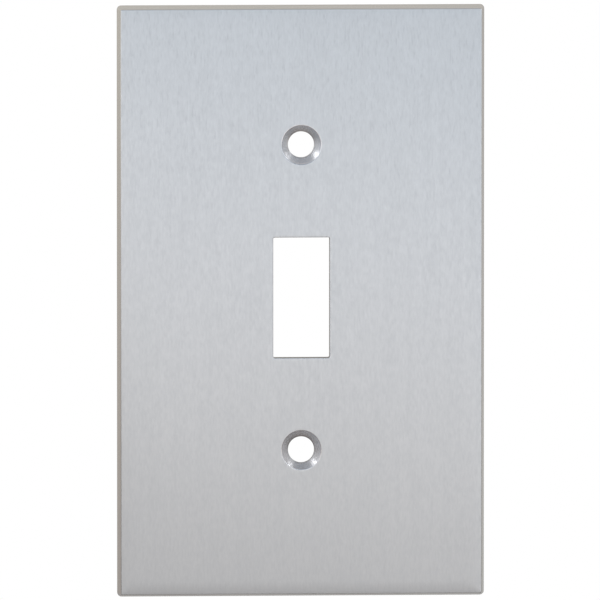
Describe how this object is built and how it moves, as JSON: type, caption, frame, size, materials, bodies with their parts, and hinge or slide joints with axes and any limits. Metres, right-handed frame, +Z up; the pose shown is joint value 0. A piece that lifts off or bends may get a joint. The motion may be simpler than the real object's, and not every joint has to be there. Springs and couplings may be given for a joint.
{
  "type": "toggle switch wall plate",
  "caption": "Single-gang brushed metal wall plate for a toggle switch, with a toggle slot, countersunk screw holes and a hollow back.",
  "frame": {"origin": "on the wall plane, midway between the two screw holes and 0.85 mm above the middle of the plate's outline", "axes": "+Z up along the plate's height, +X to the right as seen from the room, -Y out of the wall towards the room"},
  "size_m": [0.0724, 0.0034, 0.1169],
  "materials": {
    "brushed_metal": "satin, with a fine vertical brushed grain"
  },
  "bodies": {
    "root": {"wall_plate": "brushed_metal"}
  },
  "joints": []
}
